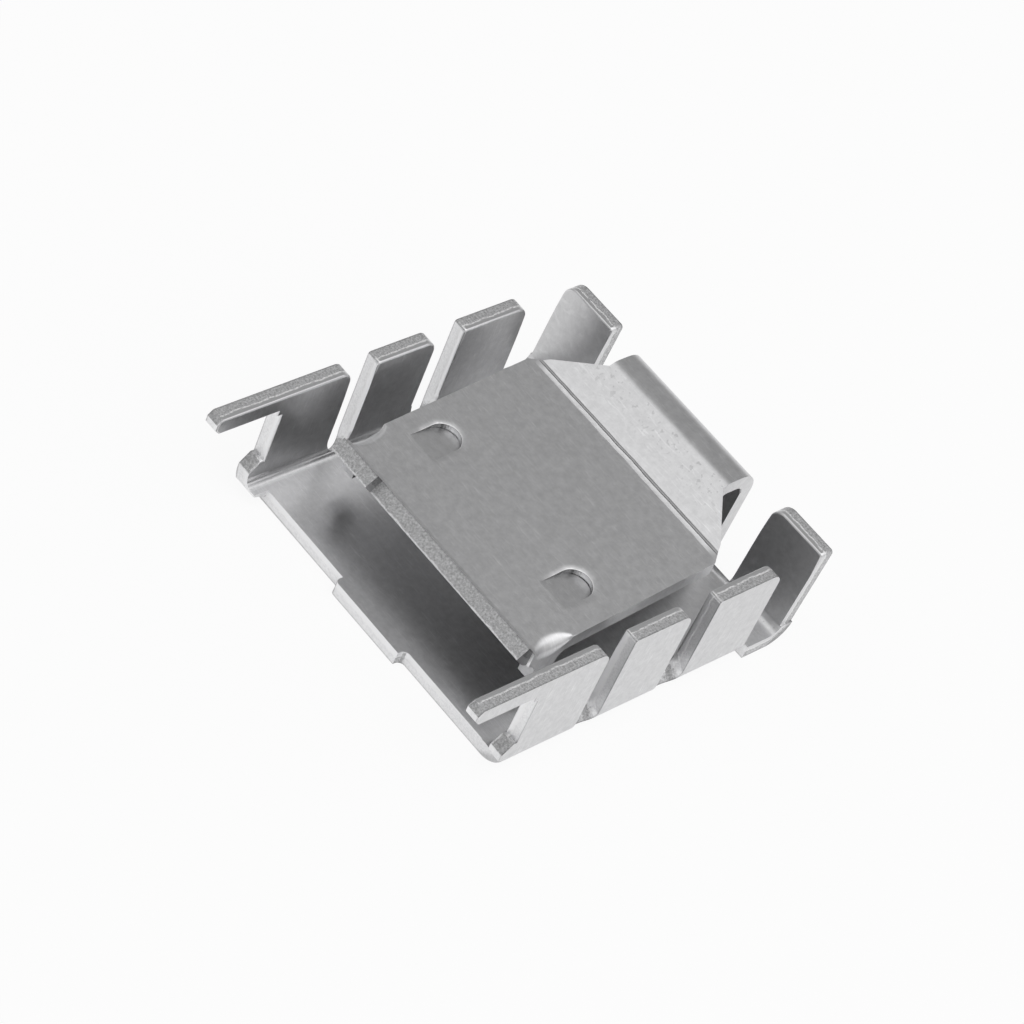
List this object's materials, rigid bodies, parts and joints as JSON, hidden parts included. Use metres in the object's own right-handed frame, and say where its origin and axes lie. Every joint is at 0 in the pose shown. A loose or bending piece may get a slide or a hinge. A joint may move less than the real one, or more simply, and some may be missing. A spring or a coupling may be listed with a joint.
{
  "type": "transistor heat sink",
  "caption": "Folded sheet-metal heat sink with side and back fins, two forward solder arms and a sprung clip plate that holds a flat power transistor on its base.",
  "frame": {"origin": "middle of the base's underside, half way across the width and half way from the front edge to the back of the clip's leg", "axes": "+Z out of the base towards the clip plate, -Y forwards to the side the transistor goes in from, +X to the right seen from the front"},
  "size_m": [0.0257, 0.0312, 0.0088],
  "materials": {
    "sheet_metal": "satin"
  },
  "bodies": {
    "root": {"heat_sink": "sheet_metal"}
  },
  "joints": []
}
